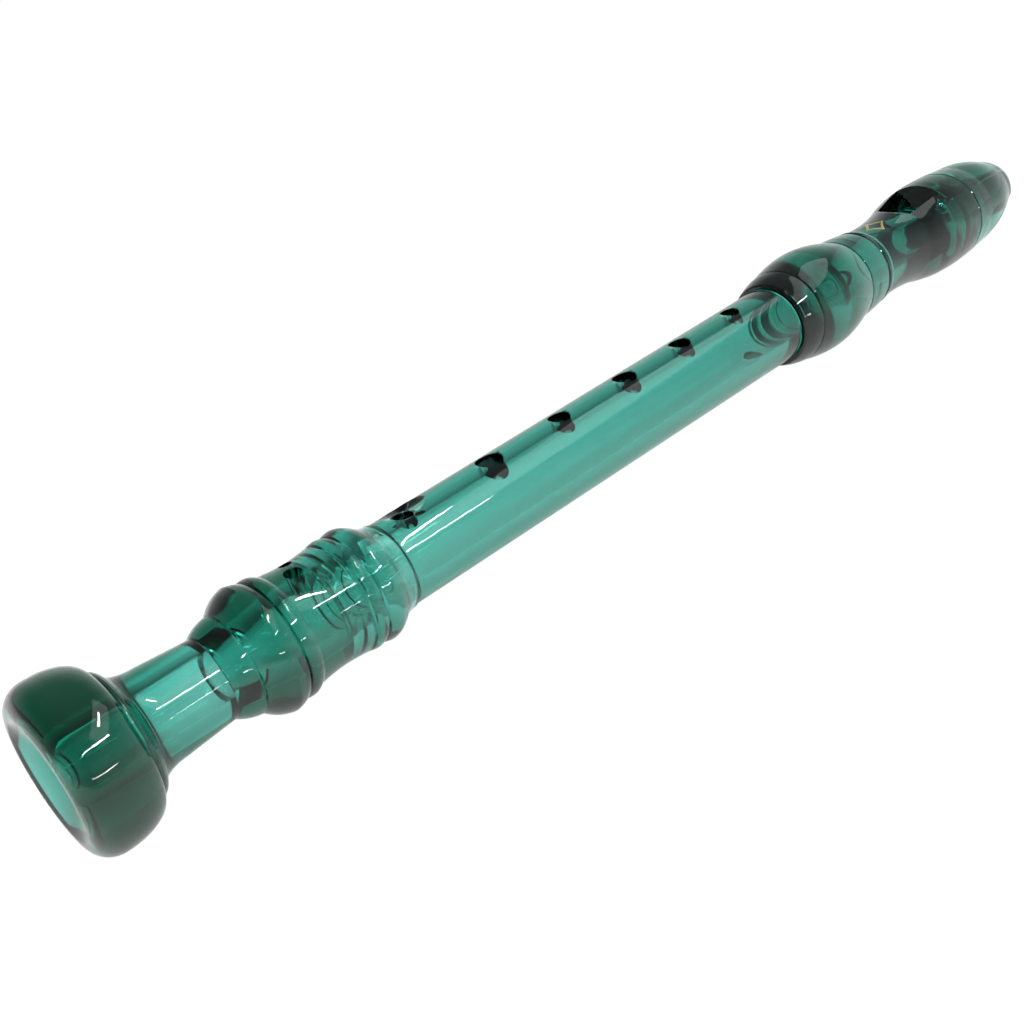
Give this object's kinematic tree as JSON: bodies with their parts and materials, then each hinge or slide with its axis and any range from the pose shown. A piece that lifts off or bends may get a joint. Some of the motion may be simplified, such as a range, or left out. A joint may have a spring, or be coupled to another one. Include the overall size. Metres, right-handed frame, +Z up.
{
  "type": "soprano recorder",
  "caption": "See-through soprano recorder in three joints: bell foot with double hole, tapered finger-hole tube, and head with window and beak.",
  "frame": {"origin": "under the middle of the recorder's length, at the bottom of the bell as it lies", "axes": "+X along the bore from the foot towards the beak; +Z up, the side that the finger holes and window face"},
  "size_m": [0.324, 0.0318, 0.032],
  "materials": {
    "green_shell": "polished see-through blue-green moulded plastic",
    "green_block": "polished see-through blue-green moulded plastic, thick section",
    "gold_foil": "hot-stamped gold foil ornament"
  },
  "bodies": {
    "middle": {"middle_joint": "green_shell"},
    "foot": {"foot_joint": "green_shell"},
    "head": {"head_joint": "green_shell", "beak_cap": "green_shell", "windway_block": "green_block"}
  },
  "joints": [
    {"name": "foot_turn", "type": "hinge", "parent": "middle", "child": "foot", "pos_m": [-0.0917, 0, 0.016], "axis": [1, 0, 0], "continuous": true},
    {"name": "head_pull", "type": "slide", "parent": "middle", "child": "head", "axis": [1, 0, 0], "range_m": [0, 0.019]}
  ]
}
